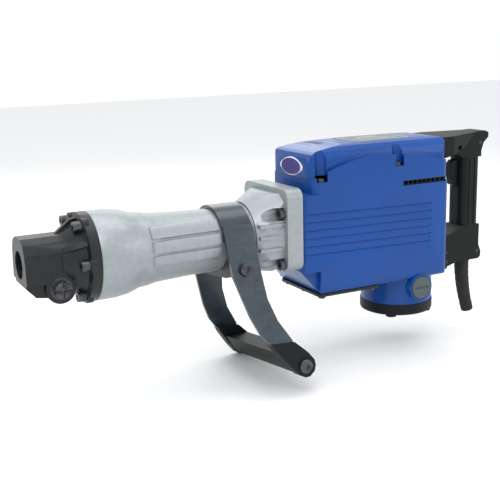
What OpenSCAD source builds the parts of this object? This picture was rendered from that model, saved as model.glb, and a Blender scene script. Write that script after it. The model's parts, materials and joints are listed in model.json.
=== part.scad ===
/* [Overall] */
// Outside radius of the front barrel of the cylinder case, mm
case_r = 57; // [50:0.5:66]
// Outside radius of the slim neck behind the barrel, mm
neck_r = 41.5; // [38:0.5:46]
// Half width of the motor housing, mm
body_half_w = 59; // [54:0.5:70]
// Height of the housing top above the hammer axis, mm
top_z = 120; // [112:1:135]
// Depth of the tail cover below the hammer axis, mm
tail_z = 143; // [136:1:160]
// Distance from the front datum to the motor axis, mm
motor_x = 586; // [582:0.5:590]
// Distance from the front datum back to the socket mouth, mm
nose_x = 14; // [10:0.5:18]

/* [Tool socket] */
// Width across flats of the hexagonal tool shank, mm
hex_af = 30; // [26:0.5:32]
// Depth of the hexagonal socket, mm
socket_depth = 66; // [60:1:74]
// Clearance of each socket flat to the shank, mm
hex_gap = 0.2; // [0.1:0.05:0.5]
// Radial clearance of the round lead-in to the shank's corners, mm
lead_gap = 0.45; // [0.3:0.05:0.5]
// Radius of the turning tool retainer shaft, mm
retainer_r = 14; // [12:0.25:16]

/* [Impact drive] */
// Bore radius of the steel cylinder, mm
bore_r = 26; // [24:0.5:28]
// Running clearance of the sliding parts, radial, mm
slide_gap = 0.07; // [0.03:0.01:0.1]
// Throw of the crank pin, mm
crank_r = 22; // [18:0.5:25]
// Distance between the two eyes of the connecting rod, mm
rod_len = 110; // [100:1:120]

/* [Gears] */
// Module of the slow gear pair, mm
mod_slow = 2; // [1.8:0.05:2.1]
// Module of the fast gear pair, mm
mod_fast = 1.5; // [1.4:0.05:1.6]
// Teeth of both pinions
pinion_n = 12; // [10:1:14]
// Teeth of the big gear on the crankshaft
final_n = 42; // [38:1:44]
// Teeth of the big gear on the second shaft
first_n = 56; // [50:1:58]

/* [Side handle] */
// Width of the steel band round the neck, mm
band_w = 43; // [38:1:50]
// Thickness of the steel band and its arms, mm
band_t = 5; // [4:0.5:6]
// Outward lean of the two arms, degrees
arm_lean = 13.5; // [8:0.5:16]
// Turn of the side handle about the hammer axis at rest, degrees
handle_turn = -7; // [-15:1:15]

/* [Rear handle] */
// Half thickness of the rear grip, mm
grip_half_w = 18; // [16:0.5:22]
// Front face of the rear grip, mm
grip_x = 696; // [690:1:698]
// Rearmost point of the rear handle, mm
handle_end = 745; // [730:1:760]

/* [Motor] */
// Radius of the armature core, mm
core_r = 27; // [24:0.5:29]
// Radius of the motor barrel, mm
barrel_r = 53.5; // [51:0.5:56]

/* [View] */
// Name of the one piece to show, or all

/* [Hidden] */
$fn = 64;

eps = 0.01;
fn_hex = 6;

// lengths along the hammer axis
flange_x = 103;
cone_x0 = 140;
cone_x1 = 188;
band_x = 273;
case_end = 366;
case_flange_t = 5;
case_flange_x = case_end - case_flange_t;
rim_end = 385;
body_x0 = 386;
body_x1 = 636;
face_x = 404;

// gear centres
slow_a = mod_slow * (pinion_n + final_n) / 2;
fast_a = mod_fast * (pinion_n + first_n) / 2;
second_x = motor_x - fast_a;
crank_x = second_x - slow_a;
wrist_x = crank_x - crank_r - rod_len;

// heights
bolt_ring = case_r - 5.5;
ret_x = 56;
socket_end = nose_x + socket_depth;
cyl_r = bore_r + 6;
tail_ring = 44.5;
screw_y = body_half_w - 7;
pocket_y = body_half_w - 5;
front_screw_x = 419;
ret_z = -29;
disc_z = 13;
disc_t = 15;
plate_z = 32;
plate_t = 12;
slow_z = 47;
slow_t = 15;
fast_z = 67;
fast_t = 10;
wall = 4;
low_z = -86;
top_bearing_z = fast_z + fast_t + 4;
tail_seat_z = -tail_z + 9;
hex_r = (hex_af / 2 + hex_gap) / cos(30);
lead_r = hex_af / 2 / cos(30) + lead_gap;
turn_gap = 0.05;

cast_black = [0.10, 0.12, 0.12];
cast_silver = [0.72, 0.74, 0.74];
steel = [0.62, 0.64, 0.66];
dark_steel = [0.30, 0.33, 0.35];
gunmetal = [0.38, 0.42, 0.45];
blue = [0.13, 0.30, 0.60];
plastic_black = [0.08, 0.09, 0.09];
rubber_black = [0.05, 0.05, 0.06];
copper = [0.72, 0.42, 0.24];
brass = [0.78, 0.62, 0.30];

// puts the origin on the socket mouth
module at_mouth() {
    translate([-nose_x, 0, 0]) children();
}
// turns the side handle about the hammer axis
module turned() {
    rotate([handle_turn, 0, 0]) children();
}
module xcyl(x0, x1, r, y = 0, z = 0, fn = 64) {
    translate([x0, y, z]) rotate([0, 90, 0]) cylinder(r = r, h = x1 - x0, $fn = fn);
}
module ycyl(y0, y1, r, x = 0, z = 0, fn = 64) {
    translate([x, y1, z]) rotate([90, 0, 0]) cylinder(r = r, h = y1 - y0, $fn = fn);
}
module zcyl(z0, z1, r, x = 0, y = 0, fn = 64) {
    translate([x, y, z0]) cylinder(r = r, h = z1 - z0, $fn = fn);
}
module block(x0, x1, y0, y1, z0, z1) {
    translate([x0, y0, z0]) cube([x1 - x0, y1 - y0, z1 - z0]);
}
// flat shape drawn in X and Z, thickened along Y
module side_prism(y0, y1) {
    translate([0, y1, 0]) rotate([90, 0, 0]) linear_extrude(y1 - y0) children();
}
// flat shape drawn in Y and Z, thickened along X
module front_prism(x0, x1) {
    translate([x0, 0, 0]) rotate([90, 0, 90]) linear_extrude(x1 - x0) children();
}
// flat shape drawn in X and Y, thickened along Z
module top_prism(z0, z1) {
    translate([0, 0, z0]) linear_extrude(z1 - z0) children();
}
// profile of radius and position, spun about the hammer axis
module spin_x(profile) {
    rotate([0, 90, 0]) rotate_extrude() polygon(profile);
}
module round_rect(x0, x1, y0, y1, r) {
    translate([x0 + r, y0]) square([x1 - x0 - 2 * r, y1 - y0]);
    translate([x0, y0 + r]) square([x1 - x0, y1 - y0 - 2 * r]);
    for (x = [x0 + r, x1 - r]) {
        for (y = [y0 + r, y1 - r]) {
            translate([x, y]) circle(r = r);
        }
    }
}
// straight bar with round ends between two points of the X Z plane
module bar2(a, b, r) {
    d = b - a;
    turn = atan2(d[1], d[0]);
    polygon(concat([for (t = [90:7.5:270]) a + r * [cos(turn + t), sin(turn + t)]],
        [for (t = [-90:7.5:90]) b + r * [cos(turn + t), sin(turn + t)]]));
}
// socket head screw along +X, head in front
module x_screw(x, y, z, head_r, head_l, shank_r, shank_l) {
    difference() {
        union() {
            xcyl(x - head_l, x, head_r, y, z);
            xcyl(x - eps, x + shank_l, shank_r, y, z);
        }
        xcyl(x - head_l - 1, x - head_l / 2, shank_r * 0.9, y, z, fn_hex);
    }
}
// socket head screw along Z, head below when dir is 1
module z_screw(x, y, z, head_r, head_l, shank_r, shank_l, dir = 1) {
    translate([x, y, z]) mirror([0, 0, dir > 0 ? 0 : 1]) difference() {
        union() {
            translate([0, 0, -head_l]) cylinder(r = head_r, h = head_l);
            translate([0, 0, -eps]) cylinder(r = shank_r, h = shank_l + eps);
        }
        translate([0, 0, -head_l - 1]) cylinder(r = shank_r * 0.9, h = head_l / 2 + 1, $fn = fn_hex);
    }
}
// socket head screw along Y on the side given by s, head outside
module y_screw(x, y, z, head_r, head_l, shank_r, shank_l, s = -1) {
    translate([x, s * y, z]) mirror([0, s > 0 ? 1 : 0, 0]) rotate([-90, 0, 0]) difference() {
        union() {
            translate([0, 0, -head_l]) cylinder(r = head_r, h = head_l);
            translate([0, 0, -eps]) cylinder(r = shank_r, h = shank_l + eps);
        }
        translate([0, 0, -head_l - 1]) cylinder(r = shank_r * 0.9, h = head_l / 2 + 1, $fn = fn_hex);
    }
}
module bearing(x, z0, z1, ro, ri) {
    rm = (ro + ri) / 2;
    translate([x, 0, 0]) difference() {
        zcyl(z0, z1, ro);
        zcyl(z0 - 1, z1 + 1, ri);
        translate([0, 0, z1 - 1]) difference() {
            cylinder(r = rm + 1.6, h = 2);
            translate([0, 0, -1]) cylinder(r = rm - 1.6, h = 4);
        }
        translate([0, 0, z0 - 1]) difference() {
            cylinder(r = rm + 1.6, h = 2);
            translate([0, 0, -1]) cylinder(r = rm - 1.6, h = 4);
        }
    }
}

// stub tooth spur gear outline
press = 25;
function inv(a) = tan(a) * 180 / PI - a;
function half_tooth(n, m, r) =
    let (rb = n * m / 2 * cos(press), a = r > rb ? acos(rb / r) : 0)
    90 / n - 0.14 / (n * m / 2) * 180 / PI / 2 * 2 + inv(press) - inv(a);
function tooth_side(n, m, s) =
    let (r0 = n * m / 2 - 1.1 * m, r1 = n * m / 2 + 0.8 * m, rb = n * m / 2 * cos(press),
        ra = max(r0, rb))
    [for (i = [0:5]) let (r = i == 0 ? r0 : ra + (r1 - ra) * (i - 1) / 4,
        a = s * half_tooth(n, m, max(r, ra))) [r * cos(a), r * sin(a)]];
module gear2(n, m) {
    circle(r = n * m / 2 - 1.1 * m + 0.05);
    for (k = [0:n - 1]) {
        right = tooth_side(n, m, -1);
        left = tooth_side(n, m, 1);
        rotate(k * 360 / n) polygon(concat([[0, 0]], right, [for (i = [5:-1:0]) left[i]]));
    }
}

// ---- nose ----
module front_cover() color(cast_black) at_mouth() difference() {
    union() {
        front_prism(nose_x, 64) polygon([[-13, 34], [13, 34], [24, 28], [30, 16], [32, 0],
            [33, -21], [-33, -21], [-32, 0], [-30, 16], [-24, 28]]);
        side_prism(-26, 26) polygon([[nose_x, -18], [nose_x + 1, -26], [nose_x + 12, -38],
            [40, -40], [64, -44], [64, -18]]);
        ycyl(-33, 33, retainer_r + 5, ret_x, ret_z);
        spin_x([[20, 60], [34, 60], [37, 68], [43, 78], [49, 88], [case_r + 1, 90],
            [case_r + 1, flange_x], [20, flange_x]]);
        for (a = [0:60:300]) {
            xcyl(88, 96, 9.5, bolt_ring * cos(a), bolt_ring * sin(a));
        }
        for (a = [-60:60:60]) {
            rotate([a, 0, 0]) side_prism(-3.5, 3.5) polygon([[60, 20], [60, 34], [80, 50],
                [92, 53], [92, 20]]);
        }
    }
    front_prism(nose_x - 1, socket_end) rotate(30) circle(r = hex_r, $fn = fn_hex);
    xcyl(nose_x - 1, nose_x + 12, lead_r);
    xcyl(socket_end - 4, flange_x + 1, 30.05);
    ycyl(-40, 40, retainer_r + slide_gap, ret_x, ret_z);
    for (a = [0:60:300]) {
        xcyl(80, flange_x + 1, 4.1, bolt_ring * cos(a), bolt_ring * sin(a));
        xcyl(66, 88, 7, bolt_ring * cos(a), bolt_ring * sin(a));
    }
}
module front_cover_bolts() color(dark_steel) at_mouth() {
    for (a = [0:60:300]) {
        x_screw(88, bolt_ring * cos(a), bolt_ring * sin(a), 6.5, 11, 4, 38);
    }
}
module tool_retainer() color(dark_steel) at_mouth() difference() {
    union() {
        ycyl(-33, 39, retainer_r, ret_x, ret_z);
        ycyl(-42, -33 + eps, 10.5, ret_x, ret_z);
    }
    translate([ret_x, 0, ret_z]) rotate([0, 180, 0]) block(-20, 20, -20, 20, 9, 20);
    for (a = [0, 90]) {
        translate([ret_x, 0, ret_z]) rotate([0, a, 0]) block(-12, 12, -43, -39, -1.4, 1.4);
    }
    for (a = [0:30:330]) {
        translate([ret_x, 0, ret_z]) rotate([0, a + 15, 0]) ycyl(-43, -34.5, 1.3, 10.8, 0);
    }
    difference() {
        ycyl(35.5, 37.5, retainer_r + 1, ret_x, ret_z);
        ycyl(35, 38, retainer_r - 1.6, ret_x, ret_z);
    }
}
module retainer_clip() color(steel) at_mouth() difference() {
    ycyl(35.8, 37.2, retainer_r + 2.4, ret_x, ret_z);
    ycyl(35, 38, retainer_r - 1.6, ret_x, ret_z);
    translate([ret_x, 0, ret_z]) block(-3, 3, 35, 38, -20, 0);
}
module hammer_holder() color(steel) at_mouth() difference() {
    spin_x([[16.5, socket_end - 4], [30, socket_end - 4], [30, flange_x], [cyl_r + 4.5, flange_x],
        [cyl_r + 4.5, 112], [cyl_r, 116], [cyl_r, 148], [16.5, 148]]);
    xcyl(127, 150, 20.5);
}
module second_hammer() color(dark_steel) at_mouth() {
    difference() {
        spin_x([[0, 76], [11, 76], [13.5, 79], [13.5, 86], [16.5 - slide_gap, 90],
            [16.5 - slide_gap, 136], [18.5, 136], [20.5 - slide_gap, 138],
            [20.5 - slide_gap, 146], [17, 149], [17, 158], [15, 160], [0, 160]]);
        spin_x([[15, 106], [18, 104], [18, 111], [15, 109]]);
    }
}
module damper_ring() color(rubber_black) at_mouth() difference() {
    xcyl(148, 156, cyl_r);
    xcyl(147, 157, 21.5);
}

// ---- cylinder and what moves in it ----
module impact_cylinder() color(steel) at_mouth() difference() {
    spin_x([[bore_r, 156], [cyl_r, 156], [cyl_r, 190], [cyl_r - 1, 192], [cyl_r - 1, 340],
        [cyl_r + 1, 344], [cyl_r + 1, 372], [bore_r, 372]]);
    for (a = [30:60:330]) {
        rotate([a, 0, 0]) zcyl(20, 40, 3, 262, 0);
    }
}
module striker() color(dark_steel) at_mouth() difference() {
    spin_x([[0, 172], [13, 172], [15, 174], [15, 190], [bore_r - slide_gap, 196],
        [bore_r - slide_gap, 250], [bore_r - 2, 252], [0, 252]]);
    spin_x([[bore_r - 2.6, 222], [bore_r + 1, 222], [bore_r + 1, 226], [bore_r - 2.6, 226]]);
    xcyl(236, 253, 14);
}
module striker_o_ring() color(rubber_black) at_mouth()
    spin_x([[bore_r - 2.6, 222.1], [bore_r - 0.03, 222.1], [bore_r - 0.03, 225.9],
        [bore_r - 2.6, 225.9]]);
piston_x0 = wrist_x - 30;
piston_x1 = wrist_x + 18;
module piston() color(steel) at_mouth() difference() {
    spin_x([[0, piston_x0], [bore_r - 1.5, piston_x0], [bore_r - slide_gap, piston_x0 + 2],
        [bore_r - slide_gap, piston_x1], [0, piston_x1]]);
    for (x = [piston_x0 + 6, piston_x0 + 13]) {
        spin_x([[bore_r - 2.6, x], [bore_r + 1, x], [bore_r + 1, x + 3], [bore_r - 2.6, x + 3]]);
    }
    side_prism(-17, 17) polygon([[wrist_x - 13, -9.5], [piston_x1 + 1, -9.5],
        [piston_x1 + 1, 9.5], [wrist_x - 13, 9.5]]);
    zcyl(-30, 30, 6, wrist_x, 0);
}
module piston_o_rings() color(rubber_black) at_mouth() {
    for (x = [piston_x0 + 6, piston_x0 + 13]) {
        spin_x([[bore_r - 2.6, x + 0.1], [bore_r - 0.03, x + 0.1], [bore_r - 0.03, x + 2.9],
            [bore_r - 2.6, x + 2.9]]);
    }
}
module piston_pin() color(dark_steel) at_mouth() difference() {
    zcyl(-23.5, 23.5, 6, wrist_x, 0);
    zcyl(-25, 25, 2.5, wrist_x, 0);
}
module connecting_rod() color(steel) at_mouth() difference() {
    union() {
        zcyl(-8, 8, 11.5, wrist_x, 0);
        zcyl(-8, 8, 17, wrist_x + rod_len, 0);
        block(wrist_x + 5, wrist_x + rod_len - 8, -8, 8, -6, 6);
    }
    zcyl(-10, 10, 6 + turn_gap, wrist_x, 0);
    zcyl(-10, 10, 10.2, wrist_x + rod_len, 0);
    block(wrist_x + 16, wrist_x + rod_len - 22, -5, 5, 3.5, 7);
    block(wrist_x + 16, wrist_x + rod_len - 22, -5, 5, -7, -3.5);
}

// ---- cylinder case ----
module neck_flutes(x0, x1) {
    for (s = [-1, 1]) {
        for (z = [-8, 10, 28]) {
            block(x0, x1, min(s * 30, s * 54), max(s * 30, s * 54), z - 7, z + 7);
        }
    }
}
module case_outside() {
    spin_x([[34, flange_x], [case_r, flange_x], [case_r + 1, flange_x + 3],
        [case_r + 0.6, cone_x0 - 10], [case_r - 1.5, cone_x0 + 6], [case_r - 7, cone_x0 + 22],
        [neck_r + 7, cone_x1 - 12], [neck_r + 4.5, cone_x1],
        [neck_r + 2.5, cone_x1 + 40], [neck_r + 1.5, band_x - 3], [neck_r + 1.5, 319],
        [neck_r + 7, 329], [52, 344], [55, case_flange_x], [34, case_flange_x]]);
    intersection() {
        neck_flutes(cone_x1 - 24, band_x - 3);
        spin_x([[30, cone_x1 - 24], [neck_r + 9.5, cone_x1 - 14], [neck_r + 7.5, cone_x1],
            [neck_r + 5.5, cone_x1 + 40], [neck_r + 4, band_x - 3], [30, band_x - 3]]);
    }
}
module flange_outline() {
    difference() {
        round_rect(-62, 62, -46, 67, 13);
        for (s = [-1, 1]) {
            translate([s * 62, 67]) rotate(s * -16) translate([-60, 0]) square([120, 30]);
        }
    }
}
module cylinder_case() color(cast_silver) at_mouth() difference() {
    union() {
        case_outside();
        front_prism(case_flange_x, case_end) flange_outline();
        intersection() {
            front_prism(322, case_flange_x + 1) round_rect(-52, 52, -38, 60, 14);
            spin_x([[30, 322], [neck_r + 6, 322], [66, 352], [72, 362], [30, 362]]);
        }
        for (s = [-1, 1]) {
            for (z = [-13, 4, 20]) {
                block(324, case_flange_x + 1, min(s * 40, s * 54.5), max(s * 40, s * 54.5),
                    z - 2.2, z + 2.2);
            }
        }
    }
    spin_x([[0, flange_x - 1], [cyl_r + 4.55, flange_x - 1], [cyl_r + 4.55, 112],
        [cyl_r + 0.05, 116], [cyl_r + 0.05, 190], [cyl_r - 0.95, 192], [cyl_r - 0.95, 340],
        [cyl_r + 1.05, 344], [cyl_r + 1.05, case_end + 1], [0, case_end + 1]]);
    for (a = [0:60:300]) {
        xcyl(flange_x - 1, flange_x + 25, 4.05, bolt_ring * cos(a), bolt_ring * sin(a));
    }
    for (s = [-1, 1]) {
        for (z = [34, -36]) {
            xcyl(case_flange_x - 20, case_end + 1, 4.6, s * 50, z);
            xcyl(case_flange_x - 30, case_flange_x, 9, s * 50, z);
        }
    }
    // room cored out of the barrel round the holder and the damper
    spin_x([[30, flange_x + 21], [case_r - 8, flange_x + 21], [case_r - 8, cone_x0 - 2],
        [38, cone_x0 + 24], [30, cone_x0 + 24]]);
    // shallow lands that locate the side handle band
    difference() {
        xcyl(band_x - 3, band_x + band_w + 3, 60);
        xcyl(band_x - 4, band_x + band_w + 4, neck_r + 1);
    }
}
module cylinder_case_bolts() color(dark_steel) at_mouth() {
    for (s = [-1, 1]) {
        for (z = [34, -36]) {
            x_screw(case_flange_x, s * 50, z, 7.6, 7, 4.45, 23);
        }
    }
}

// ---- side handle ----
band_ri = neck_r + 1.35;
band_ro = band_ri + band_t;
arm_pts = [[0, 20], [1, -46], [7, -70], [15, -100], [25, -124], [38, -141], [47, -150], [60, -165],
    [70, -178], [78, -182], [86, -180.5], [90.5, -173], [89, -167], [82, -158], [69, -146],
    [70, -138], [54, -110], [45, -80], [band_w, -43], [band_w, 20]];
grip_pts = [[36, -138], [71, -140], [87, -155], [95, -166], [95.5, -173], [92, -181],
    [84, -186.5], [77, -187], [69, -183], [56, -167.5], [42, -148]];
bar_pts = [[48, -153], [84, -153], [94, -166], [94.5, -173], [91, -180.5], [84, -185.5],
    [77, -186], [69.5, -182], [57, -167]];
function lean_out(z) = (20 - z) * tan(arm_lean);
// leaning strip between two distances out from the band, on the side given by s
module leaning(s, near, far) {
    front_prism(band_x - 10, band_x + 130) polygon([[s * near, 20], [s * (near + lean_out(-195)), -195],
        [s * (far + lean_out(-195)), -195], [s * far, 20]]);
}
// one arm, g wider on both faces
module arm(s, g = 0) {
    intersection() {
        side_prism(-130, 130) translate([band_x, 0]) polygon(arm_pts);
        leaning(s, band_ri - g, band_ro + g);
    }
}
clamp_x = band_x + 20;
clamp_z = -38;
clamp_y = band_ro + lean_out(clamp_z);
module side_handle_frame() color(gunmetal) at_mouth() turned() difference() {
    union() {
        difference() {
            xcyl(band_x, band_x + band_w, band_ro);
            xcyl(band_x - 1, band_x + band_w + 1, band_ri);
            block(band_x - 1, band_x + band_w + 1, -60, 60, -60, 0);
        }
        for (s = [-1, 1]) {
            block(band_x, band_x + band_w, min(s * band_ri, s * band_ro),
                max(s * band_ri, s * band_ro), -eps, 20);
            arm(s);
        }
    }
    ycyl(-90, 90, 5, clamp_x, clamp_z);
    for (s = [-1, 1]) {
        ycyl(min(s * clamp_y, s * 90), max(s * clamp_y, s * 90), 8.3, clamp_x, clamp_z);
    }
    ycyl(-130, 130, 5.2, grip_end_x, grip_end_z);
}
module clamp_saddle() color(cast_black) at_mouth() turned() difference() {
    front_prism(band_x + 7, band_x + 35) polygon([[0.1 - band_ri - lean_out(-27), -27],
        [0.1 - band_ri - lean_out(-43), -43], [-30, -51], [30, -51],
        [band_ri + lean_out(-43) - 0.1, -43], [band_ri + lean_out(-27) - 0.1, -27]]);
    xcyl(band_x, band_x + band_w + 10, band_ri);
    ycyl(-80, 80, 5, clamp_x, clamp_z);
}
module clamp_bolts() color(dark_steel) at_mouth() turned() {
    for (s = [-1, 1]) {
        y_screw(clamp_x, clamp_y + 0.05, clamp_z, 8, 5, 4.9, 26, s);
    }
}
grip_end_x = band_x + 80;
grip_end_z = -173;
grip_bolt_y = band_ro + lean_out(grip_end_z) + 2.4;
module side_grip() color(plastic_black) at_mouth() turned() difference() {
    union() {
        intersection() {
            side_prism(-130, 130) translate([band_x, 0]) polygon(bar_pts);
            front_prism(band_x, band_x + 120) polygon([[-band_ri - lean_out(-150), -150],
                [-band_ri - lean_out(-195), -195], [band_ri + lean_out(-195), -195],
                [band_ri + lean_out(-150), -150]]);
        }
        for (s = [-1, 1]) {
            intersection() {
                side_prism(-130, 130) translate([band_x, 0]) polygon(grip_pts);
                leaning(s, band_ri - 6, band_ro + 4);
            }
        }
    }
    for (s = [-1, 1]) {
        arm(s, 0.1);
        ycyl(min(s * grip_bolt_y, s * 130), max(s * grip_bolt_y, s * 130), 9.8, grip_end_x, grip_end_z);
    }
    ycyl(-130, 130, 5, grip_end_x, grip_end_z);
}
module grip_bolts() color(dark_steel) at_mouth() turned() {
    for (s = [-1, 1]) {
        y_screw(grip_end_x, grip_bolt_y, grip_end_z, 9.5, 4, 4.9, 40, s);
    }
}

// ---- crank case ----
module crank_case() color(cast_silver) at_mouth() difference() {
    union() {
        front_prism(case_end, rim_end) flange_outline();
        front_prism(rim_end - eps, crank_x + 51) round_rect(-52.5, 52.5, -40, plate_z + plate_t, 10);
        top_prism(plate_z, plate_z + plate_t) round_rect(crank_x - 44, motor_x + 26, -36, 36, 12);
    }
    // crank chamber and cylinder seat
    xcyl(case_end - 1, 372, cyl_r + 1.05);
    xcyl(372 - eps, 396, 30);
    top_prism(-34, plate_z) round_rect(390, crank_x + 47, -48, 48, 40);
    // bearing seats in the top plate
    zcyl(plate_z - 1, plate_z + plate_t + 1, 20, crank_x, 0);
    zcyl(plate_z - 1, plate_z + plate_t + 1, 13, second_x, 0);
    zcyl(plate_z - 1, plate_z + plate_t + 1, 15, motor_x, 0);
    for (s = [-1, 1]) {
        for (z = [34, -36]) {
            xcyl(case_end - 1, rim_end + 1, 4.5, s * 50, z);
        }
    }
}

// ---- housing ----
module housing_side(g = 0) {
    polygon([[body_x0 + g, -50 + g], [body_x0 + g, 56 - g], [face_x + g, 56 - g],
        [face_x + g, 76], [432, 87 - g], [461, 96 - g], [495, 103 - g], [535, 101.5 - g],
        [591, 96 - g], [body_x1 + 1 - g, 85 - g],
        [body_x1 + 1 - g, -74], [body_x1 - 5 - g, low_z + g],
        [418 + g, low_z + g]]);
}
module housing_plan(g = 0) {
    top_prism(-200, 56) round_rect(body_x0 + g, body_x1 + 1 - g, -body_half_w + g, body_half_w - g,
        9 - g / 2);
    top_prism(56 - eps, 200) round_rect(face_x + g, body_x1 + 1 - g, -body_half_w + g,
        body_half_w - g, 14 - g);
}
// bosses that the four cover screws go into
module cover_bosses() {
    for (s = [-1, 1]) {
        zcyl(50, 72, 9.5, front_screw_x, s * screw_y);
        zcyl(60, 84, 9.5, 547, s * screw_y);
    }
}
// bosses inside the motor barrel for the screws of the tail cover
module tail_bosses(r, z1) {
    for (a = [45:90:315]) {
        zcyl(-127, z1, r, motor_x + tail_ring * cos(a), tail_ring * sin(a));
    }
}
module motor_housing() color(blue) at_mouth() difference() {
    union() {
        intersection() {
            side_prism(-80, 80) housing_side();
            housing_plan();
            front_prism(300, 700) round_rect(-body_half_w, body_half_w, low_z, 125, 7);
        }
        zcyl(-126, low_z + 8, barrel_r, motor_x, 0);
        for (s = [-1, 1]) {
            ycyl(min(s * 40, s * 62), max(s * 40, s * 62), 19.5, motor_x, -99);
        }
    }
    // inside
    difference() {
        intersection() {
            side_prism(-80, 80) housing_side(wall);
            housing_plan(wall);
            front_prism(300, 700) round_rect(-body_half_w + wall, body_half_w - wall,
                low_z + wall, 125, 5);
        }
        zcyl(-90, 30, barrel_r, motor_x, 0);
        for (s = [-1, 1]) {
            block(body_x0, 419, min(s * 48, s * 70), max(s * 48, s * 70), -95, -48);
        }
        cover_bosses();
    }
    difference() {
        zcyl(-127, 31, 47, motor_x, 0);
        tail_bosses(6.5, -104);
    }
    tail_bosses(2.6, -106);
    // mouth for the gear cover
    difference() {
        top_prism(60, 130) round_rect(face_x + wall, body_x1 - 6, -50, 50, 8);
        cover_bosses();
    }
    // mouth for the crank case
    front_prism(body_x0 - 1, crank_x) round_rect(-52.7, 52.7, -40.2, plate_z + plate_t + 0.2, 10.2);
    // lower front corners set back
    for (s = [-1, 1]) {
        block(body_x0 - 1, 415, min(s * 52, s * 70), max(s * 52, s * 70), -95, -52);
    }
    // opening closed by the bottom cover
    block(430, 500, -36, 36, low_z - 1, low_z + wall + 1);
    // side grooves
    for (s = [-1, 1]) {
        for (k = [0:5]) {
            translate([0, 0, 31 - k * 11.2]) rotate([0, 1.2, 0])
                block(388, 604, min(s * (body_half_w - 1), s * 70), max(s * (body_half_w - 1), s * 70),
                    6, 8);
        }
        // threaded holes and pockets of the cover screws
        zcyl(54, 73, 2.5, front_screw_x, s * screw_y);
        zcyl(66, 85, 2.5, 547, s * screw_y);
        zcyl(72, 130, 9, front_screw_x, s * pocket_y);
        zcyl(84, 130, 8.5, 547, s * pocket_y);
        // side vents
        block(553, 630, min(s * 50, s * 70), max(s * 50, s * 70), 55, 62);
        // brush holder bores
        ycyl(min(s * 30, s * 70), max(s * 30, s * 70), 11.1, motor_x, -99);
        ycyl(min(s * 57, s * 70), max(s * 57, s * 70), 16.9, motor_x, -99);
    }
    for (x = [424, 508]) {
        for (y = [-46, 46]) {
            zcyl(low_z - 1, low_z + 12, 2.6, x, y);
        }
    }
    zcyl(low_z - 1, low_z + 12, 2.6, 424, 0);
    // air outlets in the rear wall
    for (z = [-60:14:24]) {
        block(body_x1 - 14, body_x1 + 4, -30, 30, z, z + 6);
    }
    for (s = [-1, 1]) {
        xcyl(body_x1 - 20, body_x1 + 4, 3.4, s * 30, -76);
    }
}
plate_x0 = 492;
plate_x1 = 588;
plate_y = 30;
cover_pts = [[face_x - 1, 76], [face_x + 0.5, 104], [face_x + 3, 109], [412, 112],
    [424, top_z - 5.5], [445, top_z - 3], [470, top_z - 1.2], [505, top_z], [560, top_z],
    [600, top_z - 0.5], [body_x1 - 4, top_z - 2], [body_x1 + 1, top_z - 6]];
module gear_cover() color(blue) at_mouth() difference() {
    union() {
        intersection() {
            side_prism(-80, 80) polygon(concat(cover_pts, [[body_x1 + 1, 85], [591, 96],
                [535, 101.5], [495, 103], [461, 96], [432, 87]]));
            front_prism(300, 700) polygon([[-53, 70], [53, 70], [53, top_z - 24],
                [51.5, top_z - 15], [48, top_z - 8], [42, top_z - 3], [32, top_z + 0.3],
                [-32, top_z + 0.3], [-42, top_z - 3], [-48, top_z - 8],
                [-51.5, top_z - 15], [-53, top_z - 24]]);
            top_prism(60, 160) round_rect(face_x - 1, body_x1 + 1, -53, 53, 12);
        }
        intersection() {
            top_prism(80, 112) round_rect(face_x + wall + 0.2, body_x1 - 6.2, -49.8, 49.8, 8);
            side_prism(-80, 80) polygon([[face_x, 80], [face_x, 100], [body_x1, 100],
                [body_x1, 78], [591, 84], [535, 89], [495, 90], [461, 84], [432, 78]]);
        }
    }
    // hollow, round the seat of the second shaft's upper bearing
    difference() {
        intersection() {
            top_prism(60, top_z - 4) round_rect(face_x + 8, body_x1 - 10, -45, 45, 6);
            side_prism(-80, 80) polygon([[face_x + 7, 60], [face_x + 7, 102], [440, 111],
                [505, top_z - 4], [body_x1 - 10, top_z - 5], [body_x1 - 10, 60]]);
            front_prism(300, 700) polygon([[-46, 60], [46, 60], [46, top_z - 26],
                [41, top_z - 13], [30, top_z - 6], [-30, top_z - 6], [-41, top_z - 13],
                [-46, top_z - 26]]);
        }
        zcyl(top_bearing_z, top_z, 17, second_x, 0);
    }
    zcyl(top_bearing_z - 1, top_bearing_z + 9, 13, second_x, 0);
    zcyl(top_bearing_z, top_bearing_z + 12, 9, second_x, 0);
    for (s = [-1, 1]) {
        zcyl(70, 130, 9, front_screw_x, s * pocket_y);
        zcyl(70, 130, 8.5, 547, s * pocket_y);
    }
    for (s = [-1, 1]) {
        xcyl(body_x1 - 20, body_x1 + 4, 3.4, s * 30, 96);
    }
    // seats of the rating plate and of the front badge
    block(plate_x0 - 1, plate_x1 + 1, -plate_y - 1, plate_y + 1, top_z - 1.6, top_z + 5);
    badge_seat(0.3, 4);
}
module gear_cover_screws() color(dark_steel) at_mouth() {
    for (s = [-1, 1]) {
        z_screw(front_screw_x, s * screw_y, 72, 5.5, 5, 2.5, 16, -1);
        z_screw(547, s * screw_y, 84, 5.5, 5, 2.5, 16, -1);
    }
}
module name_plate() color([0.10, 0.45, 0.50]) at_mouth()
    top_prism(top_z - 1.6, top_z - 0.1) round_rect(plate_x0, plate_x1, -plate_y, plate_y, 3);
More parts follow.
